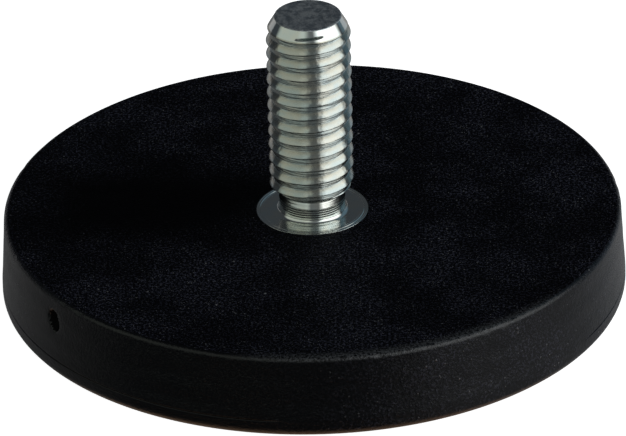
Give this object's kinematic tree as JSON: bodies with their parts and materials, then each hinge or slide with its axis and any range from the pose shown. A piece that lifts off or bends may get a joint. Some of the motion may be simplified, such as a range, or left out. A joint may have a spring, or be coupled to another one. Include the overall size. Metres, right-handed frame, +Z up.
{
  "type": "rubber-coated pot magnet with threaded stud",
  "caption": "Flat round rubber-coated holding magnet with a threaded stud standing on the centre of its back, for hanging, clamping or retrieving steel things.",
  "frame": {"origin": "centre of the rubber working face, which the magnet stands on", "axes": "+Z up along the stud's axis, away from the working face; +X to the right of the side the picture shows, +Y away from it"},
  "size_m": [0.043, 0.043, 0.021],
  "materials": {
    "zinc_plated_steel": "satin",
    "black_rubber": "matte",
    "yoke_steel": "satin",
    "nickel_plated_magnet": "polished"
  },
  "bodies": {
    "root": {"threaded_stud": "zinc_plated_steel", "rubber_jacket": "black_rubber", "rubber_face": "black_rubber", "yoke_plate": "yoke_steel", "disc_magnet_1": "nickel_plated_magnet", "disc_magnet_2": "nickel_plated_magnet", "disc_magnet_3": "nickel_plated_magnet", "disc_magnet_4": "nickel_plated_magnet", "disc_magnet_5": "nickel_plated_magnet", "disc_magnet_6": "nickel_plated_magnet"}
  },
  "joints": []
}
